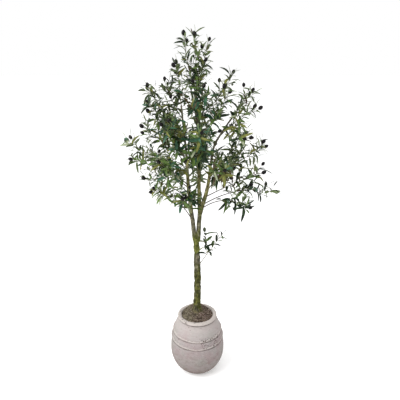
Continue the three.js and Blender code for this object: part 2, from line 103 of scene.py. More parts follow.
# name: stem, height where it leaves that (None at the stem's tip), its tip's bearing, reach and height, arch,
# bare share, spread, mix of leaves
SPRAYS = {
    "top": (MIDDLE, None, 180, 6, 2112, 0, 0, 66, "crest"),
    "top_left": (MIDDLE, 1770, 190, 80, 2122, -20, 0, 40, "crest"),
    "top_right": (MIDDLE, 1790, 8, 66, 2098, -20, 0, 38, "crest"),
    "left_peak": (LEFT, None, 196, 112, 1975, -5, 0, 56, "crest"),
    "right_peak": (RIGHT, None, 356, 318, 1822, 2, 0, 62, "crest"),
    "right_low": (RIGHT, 1150, 358, 474, 1224, 53, 0.36, 62, "shady"),
    "right_droop": (RIGHT, 1124, 331, 345, 1178, 54, 0.4, 66, "shady"),
    "left_low": (LEFT, 1050, 205, 282, 1256, 66, 0.32, 70, "light"),
    "left_front": (LEFT, 1110, 244, 195, 1235, 24, 0, 80, "light"),
    "left_core": (LEFT, 1165, 250, 172, 1242, 14, 0, 76, "inner"),
    "left_mid_low": (LEFT, 1185, 187, 316, 1318, 30, 0.26, 66, "light"),
    "right_mid_low": (RIGHT, 1200, 350, 392, 1366, 10, 0.26, 68, "dusky"),
    "right_mid": (RIGHT, 1290, 3, 408, 1500, 14, 0.3, 72, "outer"),
    "right_upper": (RIGHT, 1560, 350, 332, 1728, 14, 0.2, 60, "crest"),
    "right_core": (RIGHT, 1625, 330, 300, 1562, 6, 0, 72, "outer"),
    "left_mid": (LEFT, 1260, 184, 384, 1432, 30, 0.26, 70, "light"),
    "left_mid_high": (LEFT, 1345, 176, 424, 1526, 4, 0.2, 72, "light"),
    "left_upper": (LEFT, 1450, 190, 316, 1632, -8, 0, 66, "outer"),
    "left_fore": (LEFT, 1500, 208, 292, 1778, -10, 0, 74, "crest"),
    "left_high": (LEFT, 1590, 178, 288, 1850, -18, 0, 62, "crest"),
    "left_crest": (LEFT, 1660, 163, 200, 1890, -22, 0, 60, "crest"),
    "right_high": (MIDDLE, 1540, 326, 216, 1833, -22, 0, 66, "inner"),
    "right_crest": (MIDDLE, 1640, 17, 228, 1922, -24, 0, 54, "crest"),
    "front_left": (LEFT, 1420, 244, 300, 1690, -14, 0, 86, "inner"),
    "front_mid": (MIDDLE, 1390, 274, 315, 1640, -14, 0, 86, "inner"),
    "front_right": (RIGHT, 1310, 300, 318, 1430, 6, 0.2, 84, "dusky"),
    "front_left_low": (LEFT, 1275, 228, 305, 1470, 8, 0.2, 84, "light"),
    "front_high": (MIDDLE, 1650, 282, 160, 1862, -18, 0, 72, "inner"),
    "back_right_low": (RIGHT, 1235, 46, 362, 1390, 12, 0.2, 88, "dusky"),
    "back_low": (MIDDLE, 1225, 92, 380, 1380, 14, 0.2, 88, "inner"),
    "back_left_low": (LEFT, 1215, 138, 368, 1370, 14, 0.2, 88, "dusky"),
    "back_right": (RIGHT, 1345, 30, 350, 1560, -20, 0, 84, "outer"),
    "back_mid": (MIDDLE, 1440, 84, 330, 1650, -8, 0, 86, "inner"),
    "back_left": (LEFT, 1410, 130, 330, 1636, -6, 0, 86, "outer"),
    "back_high": (MIDDLE, 1625, 104, 190, 1872, -16, 0, 76, "outer"),
    "heart": (MIDDLE, 1420, 246, 150, 1640, -6, 0, 76, "inner"),
    "low_sprig": ("trunk", 735, 356, 176, 996, 4, 0, 84, "sprig"),
}
SPARSE = "low_sprig"  # a lone forked sprig with few leaves and no fruit

# ---- Sizes that only the looks have ----

BOUGH_RADII = (3.4, 2.5)
BOUGH_OVERLAP = 0.01  # the share of its way that a bough runs on into its mass
SHOOT_RADII = (2.5, 1.3)
TWIG_RADII = (1.5, 0.9)
SPRIG_RADII = (1.1, 0.8)
FIRST_TWIG = 0.07
TWIG_EVERY = 42
SPRIG_EVERY = 52
TWIG_TAPER = (1.24, 0.6)  # twigs shorten from the first to the last
TWIG_LEAN = 52
TWIG_RISE = 0.22
SPRIG_SPREAD = 0.55  # the finest twigs' reach as a share of the spray's
GOLDEN_ANGLE = 137.5
SPRAY_TURN = 47  # how far round the first twig of each spray is from the last spray's
SPRIG_TURN = 90
LENGTH_SAMPLES = 65
SHOOT_STEPS = 12
TWIG_STEPS = 24
SHOOT_SEED = 1000
FORK_SEED = 500
TIP_LEAF = 40
LEAF = {"length": 62, "width": 15.2, "lean": 54, "lift": 0.16}
LEAF_EVERY = 27
DENSE_EVERY = 19  # on the sprays that hide their twigs
FIRST_LEAF = {"shoot": 8, "twig": 10, "sprig": 9}
END_LEAF = {"twig": 0.8, "sprig": 0.75}  # as shares of a leaf's length
DENSE = ("left_fore", "left_high", "left_upper", "left_peak", "left_crest", "right_high", "front_high",
         "front_left", "front_mid")
LEAF_ROLL = 42
ROOM_OF_SPREAD = 0.75
ROOM_PAST_TWIGS = 72
MINGLE = 20  # how far the leaves of two sprays may reach into each other's space
LIMB_MARGIN = 1.5
STEM_SAMPLES = 25
BOUGH_SAMPLES = 9
POINTS_AT_ONCE = 1500
OLIVE = {"width": 21, "length": 27}
FRUIT_EVERY = 5  # one twig in so many ends in an olive
FORK = {"share": 0.3, "middle": (62, -30, 912), "tip": (40, -62, 1040)}  # the lone sprig's second branch
FORK_LEAVES = {"every": 23, "first": (4, 22), "sizes": (0.9, 1.15)}

# Each tone of leaf: its colour where it is dull and where it is fresh
LEAF_TONES = {
    "deep": ((14, 27, 12), (36, 55, 28)),
    "blue": ((30, 57, 40), (60, 97, 72)),
    "fresh": ((54, 74, 32), (92, 115, 58)),
    "olive": ((82, 86, 38), (118, 120, 62)),
    # The dusky tone is painted shade: a brown that stands in for the brown shade near the stems in the
    # crown's middle
    "dusky": ((50, 41, 26), (84, 71, 46)),
    "pale": ((124, 132, 106), (154, 162, 132)),
}

# The shares of those tones in each mix, in the same order
MIXES = {
    "outer": (0.28, 0.06, 0.32, 0.24, 0.02, 0.08),
    "inner": (0.20, 0.30, 0.30, 0.09, 0.02, 0.09),
    # The dusky mix gives the most of that painted shade, to low and inner sprays
    "dusky": (0.26, 0.04, 0.18, 0.28, 0.18, 0.06),
    "shady": (0.56, 0.12, 0.22, 0.06, 0.00, 0.04),
    "sprig": (0.60, 0.00, 0.18, 0.20, 0.02, 0.00),
    "crest": (0.46, 0.05, 0.26, 0.19, 0.02, 0.02),
    "light": (0.08, 0.16, 0.38, 0.14, 0.00, 0.24),
}

UP = np.array([0.0, 0.0, 1.0])
EAST = np.array([1.0, 0.0, 0.0])


# ---- The growing rule ----


def seeded(seed):
    """The same numbers from 0 to 1 for the same seed, as in the source: the mulberry32 generator."""
    mask = 0xFFFFFFFF
    state = seed & mask

    def draw():
        nonlocal state
        state = (state + 0x6D2B79F5) & mask
        t = (state ^ (state >> 15)) * (state | 1) & mask
        t ^= (t + ((t ^ (t >> 7)) * (t | 61) & mask)) & mask
        return ((t ^ (t >> 14)) & mask) / (mask + 1)

    return draw


def unit(v):
    return v / np.linalg.norm(v, axis=-1, keepdims=True)


def smooth(points):
    """A curve through the points, from share 0 to 1: a uniform Catmull-Rom spline."""
    p = np.array(points, float)
    p = np.vstack([2 * p[0] - p[1], p, 2 * p[-1] - p[-2]])
    spans = len(points) - 1

    def at(share):
        t = np.clip(np.asarray(share, float), 0, 1) * spans
        i = np.minimum(t.astype(int), spans - 1)
        w = (t - i)[..., None]
        a, b, c, d = p[i], p[i + 1], p[i + 2], p[i + 3]
        return b + 0.5 * ((c - a) * w + (2 * a - 5 * b + 4 * c - d) * w**2 + (3 * b - a - 3 * c + d) * w**3)

    return at


def arc(start, middle, end):
    """A curve from start to end that leans towards middle."""

    def at(share):
        t = np.asarray(share, float)[..., None]
        return (1 - t) ** 2 * start + 2 * t * (1 - t) * middle + t**2 * end

    return at


def length_of(curve):
    return np.linalg.norm(np.diff(curve(np.linspace(0, 1, LENGTH_SAMPLES)), axis=0), axis=1).sum()


def stations(curve, start, stop, steps):
    """Evenly stepped places on a curve: points, directions, and two sideways directions that never twist."""
    shares = np.linspace(start, stop, steps + 1)
    step = 1e-3
    along = unit(curve(np.minimum(shares + step, 1)) - curve(np.maximum(shares - step, 0)))
    side = [unit(np.cross(along[0], UP if abs(along[0][2]) < 0.9 else EAST))]
    for direction in along[1:]:
        side.append(unit(side[-1] - direction * side[-1].dot(direction)))
    side = np.array(side)
    return curve(shares), along, side, np.cross(side, along)


def share_at_height(curve, height):
    """Where a rising curve is at a height, found by halving."""
    low, high = 0.0, 1.0
    for _ in range(40):
        middle = (low + high) / 2
        if curve(middle)[2] < height:
            low = middle
        else:
            high = middle
    return low


def taper(ends):
    """A measure that runs evenly from the first end to the second as a share runs from 0 to 1."""
    return lambda share: ends[0] + (ends[1] - ends[0]) * share


class Spray:
    """One spray's way from its stem to its tip, the bare bough on it and the shoot that its twigs grow on."""

    def __init__(self, number, name):
        self.number, self.name = number, name
        stem, at, bearing, reach, height, arch, self.bare, self.spread, self.mix = SPRAYS[name]
        curve = stem_curves[stem]
        start = curve(share_at_height(curve, at) if at else 1.0)
        turn = radians(bearing)
        tip = np.array([reach * cos(turn), reach * sin(turn), height])
        self.way = arc(start, (start + tip) / 2 + 2 * arch * UP, tip)
        self.leafy = self.bare or (FIRST_TWIG if at else 0)
        self.stop = 1 - TIP_LEAF / length_of(self.way)
        self.line = stations(self.way, self.bare, self.stop, SHOOT_STEPS)[0]
        self.room = ROOM_OF_SPREAD * self.spread + ROOM_PAST_TWIGS

    def shoot(self, start):
        """The spray's shoot from a share of its way on."""
        return Twig(self.number, self.way, start, self.stop, SHOOT_RADII, SHOOT_SEED + self.number)


stem_curves = {name: smooth(stem["points"]) for name, stem in STEMS.items()}
sprays = [Spray(number, name) for number, name in enumerate(SPRAYS)]


def segments(lines):
    """Where each straight piece of the lines starts and ends."""
    return np.vstack([line[:-1] for line in lines]), np.vstack([line[1:] for line in lines])


def distances(points, starts, ends):
    """How far each point is from each straight segment."""
    reach = ends - starts
    squares = (reach**2).sum(1)
    rows = []
    for part in np.array_split(points, len(points) // POINTS_AT_ONCE + 1):
        offset = part[:, None] - starts[None]
        share = np.clip((offset * reach).sum(2) / squares, 0, 1)
        rows.append(np.linalg.norm(offset - share[..., None] * reach, axis=2))
    return np.vstack(rows)


def limb_lines():
    """Every bare limb as a line and how thick it is."""
    for name, curve in stem_curves.items():
        yield curve(np.linspace(0, 1, STEM_SAMPLES)), max(STEMS[name]["radii"])
    for spray in sprays:
        if spray.bare:
            yield spray.way(np.linspace(0, spray.bare, BOUGH_SAMPLES)), BOUGH_RADII[0]


limbs = list(limb_lines())
limb_starts, limb_ends = segments([line for line, _ in limbs])
limb_radii = np.concatenate([np.full(len(line) - 1, radius) for line, radius in limbs])
shoot_starts, shoot_ends = segments([spray.line for spray in sprays])
rooms = np.array([spray.room for spray in sprays])


def in_space(points, owners, thickness):
    """Which points keep to their own spray: near its shoot, nearer to that than to others, clear of limbs."""
    to_shoots = distances(points, shoot_starts, shoot_ends).reshape(len(points), len(sprays), -1).min(2)
    own = to_shoots[np.arange(len(points)), owners].copy()
    to_shoots[np.arange(len(points)), owners] = np.inf
    to_limbs = (distances(points, limb_starts, limb_ends) - limb_radii).min(1)
    near = own < rooms[owners]
    nearest = to_shoots.min(1) > own + 2 * (thickness - MINGLE)
    return near & nearest & (to_limbs > thickness + LIMB_MARGIN)


class Twig:
    """A stretch of a curve that bears leaves or finer twigs. Its owner is the number of its spray."""

    def __init__(self, owner, curve, start, stop, radii, seed, parent=None):
        self.owner, self.parent, self.bears = owner, parent, False
        self.curve, self.start, self.stop = curve, start, stop
        self.radii, self.seed = radii, seed
        self.length = length_of(curve) * (stop - start)

    def branch(self, every, fewest, spread, radii, turn):
        """Finer twigs round this one by the golden angle, leaning out and lifting at their tips."""
        random = seeded(self.seed)
        count = max(fewest, round(self.length / every))
        points, along, side, over = stations(self.curve, self.start, self.stop, TWIG_STEPS)
        grown = []
        for k in range(count):
            share = (k + 0.6) / (count + 0.2)
            i = round(share * TWIG_STEPS)
            angle = radians(GOLDEN_ANGLE * k + turn)
            lean = radians(TWIG_LEAN * (1 - 0.3 * share))
            size = spread * taper(TWIG_TAPER)(share) * (0.8 + 0.4 * random())
            out = side[i] * cos(angle) + over[i] * sin(angle)
            heading = along[i] * cos(lean) + out * sin(lean)
            end = points[i] + heading * size + UP * TWIG_RISE * size
            curve = arc(points[i], points[i] + heading * 0.55 * size, end)
            grown.append(Twig(self.owner, curve, 0, 1, radii, self.seed * 31 + k + 1, self))
        return grown


def kept(twigs):
    """The twigs that stay in their own space."""
    if not twigs:
        return []
    points = np.array([twig.curve(share) for twig in twigs for share in (0.5, 1.0)])
    owners = np.repeat([twig.owner for twig in twigs], 2)
    fits = in_space(points, owners, TWIG_RADII[0]).reshape(-1, 2).all(1)
    return [twig for twig, good in zip(twigs, fits) if good]


# ---- Meshes ----


def put(name, data):
    """A new object in the scene."""
    thing = bpy.data.objects.new(name, data)
    bpy.context.scene.collection.objects.link(thing)
    return thing


def dress(piece, nodes):
    """Fixes the piece to the body, in place of the nodes, which it hides."""
    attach(piece, "root")
    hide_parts(*nodes)


class Soup:
    """Points and faces gathered for one joined piece. A kind is the number of a face's material."""

    def __init__(self):
        self.points, self.faces, self.kinds, self.count = [], [], [], 0

    def add(self, points, faces, kind=0):
        self.points.append(np.asarray(points, float))
        self.faces += [[corner + self.count for corner in face] for face in faces]
        self.kinds += [kind] * len(faces) if np.isscalar(kind) else list(kind)
        self.count += len(points)

    def mesh(self, name):
        mesh = bpy.data.meshes.new(name)
        mesh.from_pydata((np.vstack(self.points) * MM).tolist(), [], self.faces)
        return mesh

    def build(self, name, looks, nodes, slot, sharp=None):
        """The piece, which stands for the nodes. Edges over sharp degrees stay sharp."""
        mesh = self.mesh(name)
        for look in looks:
            mesh.materials.append(look)
        mesh.polygons.foreach_set("material_index", self.kinds)
        mesh.shade_smooth()
        if sharp:
            mesh.set_sharp_from_angle(angle=radians(sharp))
        mesh.update()
        dress(put(name, mesh), nodes)


def grid(rings, sides):
    """The faces between rings of points."""
    pairs = [(j, (j + 1) % sides) for j in range(sides)]
    return [[i * sides + j, i * sides + k, (i + 1) * sides + k, (i + 1) * sides + j]
            for i in range(rings - 1) for j, k in pairs]


def tube(curve, start, stop, steps, sides, radius_at):
    """Points and faces of a round limb, closed at both ends. radius_at takes shares of its way."""
    points, _, side, over = stations(curve, start, stop, steps)
    radii = radius_at(np.linspace(0, 1, steps + 1))[:, None, None]
    angles = np.linspace(0, 2 * pi, sides, endpoint=False)[None, :, None]
    rings = points[:, None] + radii * (side[:, None] * np.cos(angles) + over[:, None] * np.sin(angles))
    last = steps * sides
    caps = [list(range(sides))[::-1], [last + j for j in range(sides)]]
    faces = grid(steps + 1, sides) + caps
    return rings.reshape(-1, 3), [face[::-1] for face in faces]


def lathe(profile, sides, move=None):
    """Points and faces of a turned form. The profile runs from axis to axis, and move shifts its points."""
    profile = np.array(profile, float)
    radius, height = profile[1:-1, None, 0], profile[1:-1, None, 1]
    angles = np.linspace(0, 2 * pi, sides, endpoint=False)
    rings = np.stack([radius * np.cos(angles), radius * np.sin(angles), height + 0 * angles], 2)
    points = rings.reshape(-1, 3)
    if move:
        points = move(points)
    ends, last = len(points), len(points) - sides
    points = np.vstack([points, [0, 0, profile[0, 1]], [0, 0, profile[-1, 1]]])
    faces = grid(len(profile) - 2, sides)
    faces += [[ends, (j + 1) % sides, j] for j in range(sides)]
    faces += [[ends + 1, last + j, last + (j + 1) % sides] for j in range(sides)]
    return points, faces


def fractal(points, scale, octaves=4):
    """Smooth noise of about -1 to 1, with lumps of the scale's size. Points moved far off give others."""
    fineness, step = 0.7, 2.0  # how fast finer lumps fade, and how much finer each octave is
    return np.array([noise.fractal(Vector(p), fineness, step, octaves) for p in points / np.array(scale)])


# ---- Materials ----


def srgb(*values):
    return tuple(((v / 255 + 0.055) / 1.055) ** 2.4 if v > 10 else v / 255 / 12.92 for v in values) + (1.0,)


class Look:
    """A procedural material, patterned in the object's own coordinates in metres."""

    def __init__(self, name, roughness, specular):
        self.material = bpy.data.materials.new(name)
        self.material.use_nodes = True
        self.tree = self.material.node_tree
        self.shader = self.tree.nodes["Principled BSDF"]
        self.shader.inputs["Roughness"].default_value = roughness
        self.shader.inputs["Specular IOR Level"].default_value = specular
        self.place = self.tree.nodes.new("ShaderNodeTexCoord").outputs["Object"]

    def node(self, kind, settings=(), **inputs):
        """A node with its settings and inputs. An input is known by its name, or as _0, _1 and so on."""
        node = self.tree.nodes.new("ShaderNode" + kind)
        for name, value in dict(settings).items():
            setattr(node, name, value)
        for name, value in inputs.items():
            socket = node.inputs[int(name[1:]) if name[0] == "_" else name.replace("_", " ")]
            if isinstance(value, bpy.types.NodeSocket):
                self.tree.links.new(value, socket)
            else:
                socket.default_value = value
        return node

    def texture(self, kind, size, stretch, **inputs):
        place = self.node("Mapping", Vector=self.place, Scale=stretch).outputs[0]
        return self.node(kind, Vector=place, Scale=1 / (size * MM), **inputs).outputs

    def noise(self, size, detail, stretch=(1, 1, 1), roughness=0.55):
        """Noise from 0 to 1 with lumps of about size millimetres."""
        return self.texture("TexNoise", size, stretch, Detail=detail, Roughness=roughness)["Fac"]

    def cells(self, size, stretch=(1, 1, 1)):
        """The distance to the nearest of scattered points, about size millimetres apart."""
        return self.texture("TexVoronoi", size, stretch)["Distance"]

    def ramp(self, factor, *stops):
        """A colour or grey from stops of (factor, colour or grey)."""
        node = self.node("ValToRGB", Fac=factor)
        elements = node.color_ramp.elements
        while len(elements) < len(stops):
            elements.new(0.5)
        for element, (place, colour) in zip(elements, stops):
            element.position = place
            element.color = srgb(*colour) if isinstance(colour, tuple) else (colour, colour, colour, 1)
        return node.outputs["Color"]

    def mix(self, factor, a, b, mode="MIX"):
        """Colour a with the factor's share of b. The node has its colours at 6 and 7 and their mix at 2."""
        b = srgb(*b) if isinstance(b, tuple) else b
        node = self.node("Mix", {"data_type": "RGBA", "blend_type": mode}, _0=factor, _6=a, _7=b)
        return node.outputs[2]

    def maths(self, operation, a, b=0):
        return self.node("Math", {"operation": operation}, _0=a, _1=b).outputs[0]

    def add(self, a, b):
        return self.maths("ADD", a, b)

    def times(self, a, b):
        return self.maths("MULTIPLY", a, b)

    def axis(self, name):
        """Where a point lies along an axis, in metres."""
        return self.node("SeparateXYZ", Vector=self.place).outputs[name]

    def rise(self, low, high):
        """How far a point is on its way from the one height to the other, from 0 to 1."""
        return self.span(self.axis("Z"), low, high)

    def span(self, value, low, high):
        """How far a value is on its way from low to high, from 0 to 1."""
        return self.node("MapRange", Value=value, From_Min=low, From_Max=high).outputs["Result"]

    def finish(self, colour, bump=None, distance=1.0):
        """The material, with a relief of bump that is about distance millimetres deep."""
        self.tree.links.new(colour, self.shader.inputs["Base Color"])
        if bump is not None:
            normal = self.node("Bump", Height=bump, Strength=1.0, Distance=distance * MM).outputs["Normal"]
            self.tree.links.new(normal, self.shader.inputs["Normal"])
        return self.material


def leaf_look(name, dull, fresh, roughness):
    look = Look(name, roughness, 0.18)
    colour = look.ramp(look.noise(26, 3), (0.35, dull), (0.65, fresh))
    return look.finish(colour, look.noise(3, 2), 0.15)


def olive_look():
    look = Look("olive_skin", 0.3, 0.15)
    colour = look.ramp(look.noise(9, 4), (0.4, (7, 5, 6)), (0.75, (24, 16, 20)))
    return look.finish(colour, look.noise(2.5, 2), 0.08)


def twig_look(name="twig_wrap", dark=(72, 64, 50), middle=(92, 88, 62), light=(112, 104, 86)):
    look = Look(name, 0.75, 0.3)
    colour = look.ramp(look.noise(30, 4), (0.3, dark), (0.5, middle), (0.72, light))
    return look.finish(colour, look.noise(3, 3), 0.4)


BARK_WAY = (0.4, 1.9)  # metres above the ground, like the spans after it
SUNLIT_FROM = (1.1, 1.2)
SUNLIT_TO = (1.48, 1.32)
DUSTY_TO = (0.468, 0.438)

# How bright the moss is, and how bare the bark, at shares of the bark's way
# From shares 0.5 to 0.6 the bright moss and scant bare bark are partly painted light, lightening the stems
# where the crown shades them
BRIGHT_MOSS = ((0.0, 0.55), (0.06, 0.35), (0.22, 0.1), (0.31, 0.2), (0.34, 1.0), (0.4, 1.0), (0.46, 0.6),
               (0.52, 1.0), (0.6, 0.9), (0.7, 0.4))
BARE_BARK = ((0.0, 0.1), (0.26, 0.2), (0.3, 0.7), (0.34, 0.05), (0.38, 0.1), (0.42, 0.42), (0.47, 0.4),
             (0.53, 0.14), (0.6, 0.2), (0.68, 0.6))


def bark_look():
    """Mossy bark: dull and dark low down, brightest under the fork, with bare grey patches above it."""
    look = Look("mossy_bark", 0.95, 0.2)
    grain = look.noise(15, 6, (1, 1, 0.55), 0.68)
    dull = look.ramp(grain, (0.36, (24, 25, 9)), (0.5, (57, 57, 25)), (0.64, (96, 96, 44)))
    bright = look.ramp(grain, (0.34, (46, 49, 16)), (0.5, (80, 83, 35)), (0.66, (114, 116, 58)))
    bare = look.ramp(grain, (0.34, (38, 35, 28)), (0.53, (92, 88, 70)), (0.7, (150, 143, 121)))
    way = look.span(look.add(look.axis("Z"), look.times(look.noise(45, 3), 0.12)), *BARK_WAY)
    moss = look.mix(look.ramp(way, *BRIGHT_MOSS), dull, bright)
    patches = look.ramp(look.noise(34, 4, (1, 1, 0.5), 0.6), (0.4, -0.5), (0.62, 0.5))
    patches = look.add(look.ramp(way, *BARE_BARK), patches)
    colour = look.mix(look.span(patches, 0.35, 0.65), moss, bare)
    pits = look.ramp(look.cells(8, (1, 1, 0.7)), (0.0, 0.3), (0.4, 1.0))
    colour = look.mix(0.75, colour, pits, "MULTIPLY")
    sunlit = look.ramp(grain, (0.38, (92, 90, 44)), (0.64, (178, 174, 108)))
    share = look.times(look.rise(*SUNLIT_FROM), look.rise(*SUNLIT_TO))
    colour = look.mix(look.times(share, 0.4), colour, sunlit)
    dust = look.ramp(grain, (0.36, (40, 34, 28)), (0.64, (120, 106, 88)))
    low = look.add(look.axis("Z"), look.times(look.noise(20, 3), 0.03))
    colour = look.mix(look.times(look.span(low, *DUSTY_TO), 0.8), colour, dust)
    return look.finish(colour, grain, 2.2)


# Painted light and shade on the jar: lighter towards the top of the shoulder, darker towards the bottom
SHOULDER_FROM = (0.26, 0.36)  # metres above the ground, like the spans after it
FOOT_TO = (0.26, -0.02)
UNDERSIDE_TO = (0.07, 0.0)


def pot_look(name, highlight_share):
    """Chalky earthenware: mauve and green tints, throwing lines, pits, stains low down, and painted light and
    shade.
    """
    look = Look(name, 0.95, 0.1)
    colour = look.ramp(look.noise(95, 3), (0.36, (148, 135, 135)), (0.5, (152, 145, 144)),
                       (0.64, (145, 143, 139)))
    lines = look.noise(40, 3, (0.3, 0.3, 9), 0.5)
    colour = look.mix(look.ramp(lines, (0.42, 0.0), (0.64, 0.35)), colour, (136, 124, 121))
    chalk = look.ramp(look.noise(18, 5, (1, 1, 2.5), 0.7), (0.52, 0.0), (0.7, 0.5))
    colour = look.mix(chalk, colour, (180, 172, 168))
    # Painted light: the shoulder lightens towards its top, as if lit from above
    colour = look.mix(look.times(look.rise(*SHOULDER_FROM), 0.42), colour, (186, 178, 174))
    # Painted highlight: the second copy of the clay is lighter by this share
    colour = look.mix(highlight_share, colour, (198, 190, 182))
    # Painted shade: the jar darkens towards the bottom, and more at its underside; the stains keep to that
    # lower part
    foot = look.rise(*FOOT_TO)
    colour = look.mix(look.times(foot, 0.68), colour, (98, 87, 82))
    colour = look.mix(look.times(look.rise(*UNDERSIDE_TO), 0.6), colour, (84, 70, 58))
    stain = look.times(look.ramp(look.noise(30, 5, (1, 1, 1.6), 0.7), (0.5, 0.0), (0.66, 0.8)), foot)
    colour = look.mix(stain, colour, (96, 76, 62))
    # Painted shade: a dark band at each groove's height, under the lip and under the cords, broken up by
    # noise
    for low, high in GROOVES:
        middle, reach = (low + high) / 2 * MM, (high - low) / 2 * MM
        offset = look.maths("ABSOLUTE", look.maths("SUBTRACT", look.axis("Z"), middle))
        shade_noise = look.ramp(look.noise(22, 3), (0.3, 0.35), (0.6, 0.9))
        colour = look.mix(look.times(look.span(offset, reach, 0), shade_noise), colour, (74, 64, 58))
    pits = look.ramp(look.cells(8), (0.08, 1.0), (0.16, 0.0))
    some = look.ramp(look.noise(40, 2), (0.54, 0.0), (0.62, 0.75))
    colour = look.mix(look.times(pits, some), colour, (70, 60, 54))
    relief = look.add(look.times(lines, 0.7), look.noise(4, 5, roughness=0.7))
    return look.finish(colour, relief, 1.2)


MOSSY_SIDE = (0.03, -0.07)  # metres to the right, from where the fill is brown to where it is mossy


def soil_look():
    look = Look("dried_moss_fill", 1.0, 0.1)
    grain = look.noise(11, 6, roughness=0.75)
    brown = look.ramp(grain, (0.39, (30, 22, 20)), (0.5, (88, 71, 65)), (0.62, (152, 132, 122)))
    moss = look.ramp(grain, (0.39, (44, 40, 32)), (0.5, (106, 98, 83)), (0.62, (164, 154, 134)))
    patches = look.ramp(look.noise(40, 3), (0.4, -0.3), (0.6, 0.3))
    colour = look.mix(look.add(look.span(look.axis("X"), *MOSSY_SIDE), patches), brown, moss)
    blots = look.ramp(look.noise(24, 4, roughness=0.65), (0.52, 0.0), (0.6, 0.62))
    colour = look.mix(blots, colour, (50, 42, 33))
    tufts = look.ramp(look.noise(19, 4, roughness=0.65), (0.57, 0.0), (0.66, 0.4))
    return look.finish(look.mix(tufts, colour, (166, 152, 132)), grain, 5.0)


def chip_look(name, dark, light):
    look = Look(name, 0.95, 0.15)
    colour = look.ramp(look.noise(12, 3), (0.3, dark), (0.7, light))
    return look.finish(colour, look.noise(2, 2), 0.3)


def floor_look():
    look = Look("pale_floor", 0.9, 0.1)
    look.shader.inputs["Emission Color"].default_value = (1, 1, 1, 1)
    look.shader.inputs["Emission Strength"].default_value = 0.2
    colour = look.ramp(look.noise(900, 2), (0.3, (252, 252, 252)), (0.7, (254, 254, 254)))
    return look.finish(colour)


# ---- Jar and fill ----

POT_ROWS = 260
POT_SIDES = 288
LIP_STEPS = 22
LIP_TURN = (-72, 200)  # degrees round its section, from the groove under it to the inside
LIP_GROOVE = [(117.5, 382), (115.5, 385)]
CORD_PROUD = 5
CORD_HALF_WIDTH = 4.2
CORD_SAG = 12  # how far the cords dip from the jar's sides to its front and back
CORD_WAVER = 1.2
CORD_GROOVE = {"depth": 1.4, "under": 1.7, "width": 3}  # along the lower edge of each cord
MIDLINE = {"proud": 1.2, "half_width": 2.2}  # the faint line between the cords
GROOVES = [(376, 389), (281, 290), (232, 241)]  # heights where shade is painted as dark bands: under the lip and the cords

# How deep, how large (in x, y and z) and how finely divided the unevenness of the clay is
CLAY_WEAR = ((0.9, (80, 80, 60), 3), (0.5, (30, 30, 3.2), 2), (0.25, (5, 5, 5), 3))

# Where the clay is chipped: by the cords on the right, and on the lip at the left. For each, its heights, its
# bearings in degrees, and the noise that it takes to chip the clay
CHIPPED = (((236, 312), (278, 326), 0.18), ((380, 420), (160, 242), 0.1))
CHIP_LIMIT = 0.6  # the noise that it takes elsewhere
CHIP_LUMPS = (9, 9, 5.5)
CHIP_DEPTH = 5
SCAR_DEPTH = 0.16  # where the chips go deep enough to show dark clay


def cord_levels(points):
    """The points' heights as if the cords, which sag and waver, ran level."""
    bearing = np.arctan2(points[:, 1], points[:, 0])
    waver = CORD_WAVER * np.sin(5 * bearing) * np.cos(2 * bearing)
    return points[:, 2] - CORD_SAG * (np.cos(bearing) ** 2 - 0.25) + waver


def cord_relief(points):
    """How far out the two cords and the faint line between them push the jar's wall."""
    height = cord_levels(points)
    relief = np.zeros(len(points))
    for middle in CORD_HEIGHTS:
        offset = (height - middle) / CORD_HALF_WIDTH
        groove = CORD_GROOVE["depth"] * np.exp(-((offset + CORD_GROOVE["under"]) ** 2) * CORD_GROOVE["width"])
        relief += CORD_PROUD * np.sqrt(np.clip(1 - offset**2, 0, 1)) - groove
    between = (height - sum(CORD_HEIGHTS) / 2) / MIDLINE["half_width"]
    return relief + MIDLINE["proud"] * np.exp(-(between**2))


